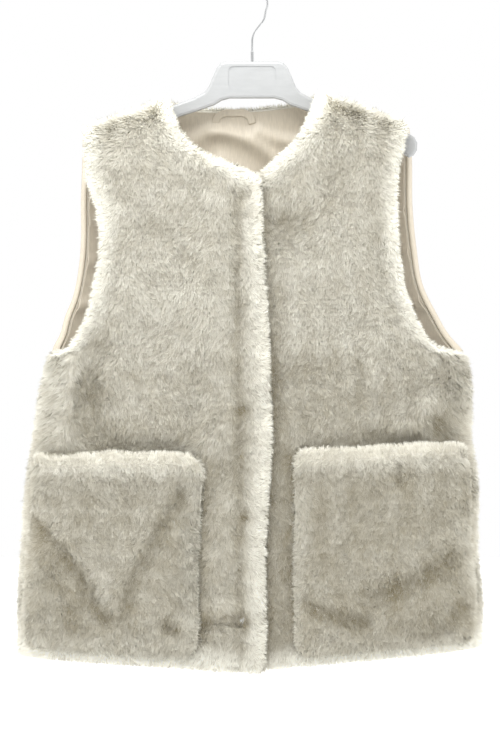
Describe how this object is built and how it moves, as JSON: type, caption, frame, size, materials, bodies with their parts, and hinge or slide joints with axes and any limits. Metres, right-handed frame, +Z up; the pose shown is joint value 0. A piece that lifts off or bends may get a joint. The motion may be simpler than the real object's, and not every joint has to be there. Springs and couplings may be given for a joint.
{
  "type": "faux-fur gilet on a clothes hanger",
  "caption": "Sleeveless plush gilet, collarless, with lapped front and large patch pockets, hanging on a moulded hanger with a wire hook.",
  "frame": {"origin": "inner top of the hanger's hook, where a rail carries it", "axes": "+X to the wearer's left, +Y to the wearer's back, +Z up; the fronts face -Y and the side and shoulder seams lie in y = 0"},
  "size_m": [0.581, 0.1249, 0.8534],
  "materials": {
    "fur": "cream plush faux fur, pile about 11 mm",
    "lining": "cream satin",
    "hanger": "white translucent moulded plastic",
    "steel": "bright plated wire",
    "stud": "plated press stud"
  },
  "bodies": {
    "root": {"front_right": "fur", "front_left": "fur", "back": "fur", "pocket_right": "fur", "pocket_left": "fur", "back_lining": "lining", "hanging_loop": "lining", "hanger": "hanger", "hanger_hook": "steel", "press_stud_1": "stud", "press_stud_2": "stud", "press_stud_3": "stud", "press_stud_4": "stud", "press_stud_5": "stud"}
  },
  "joints": []
}
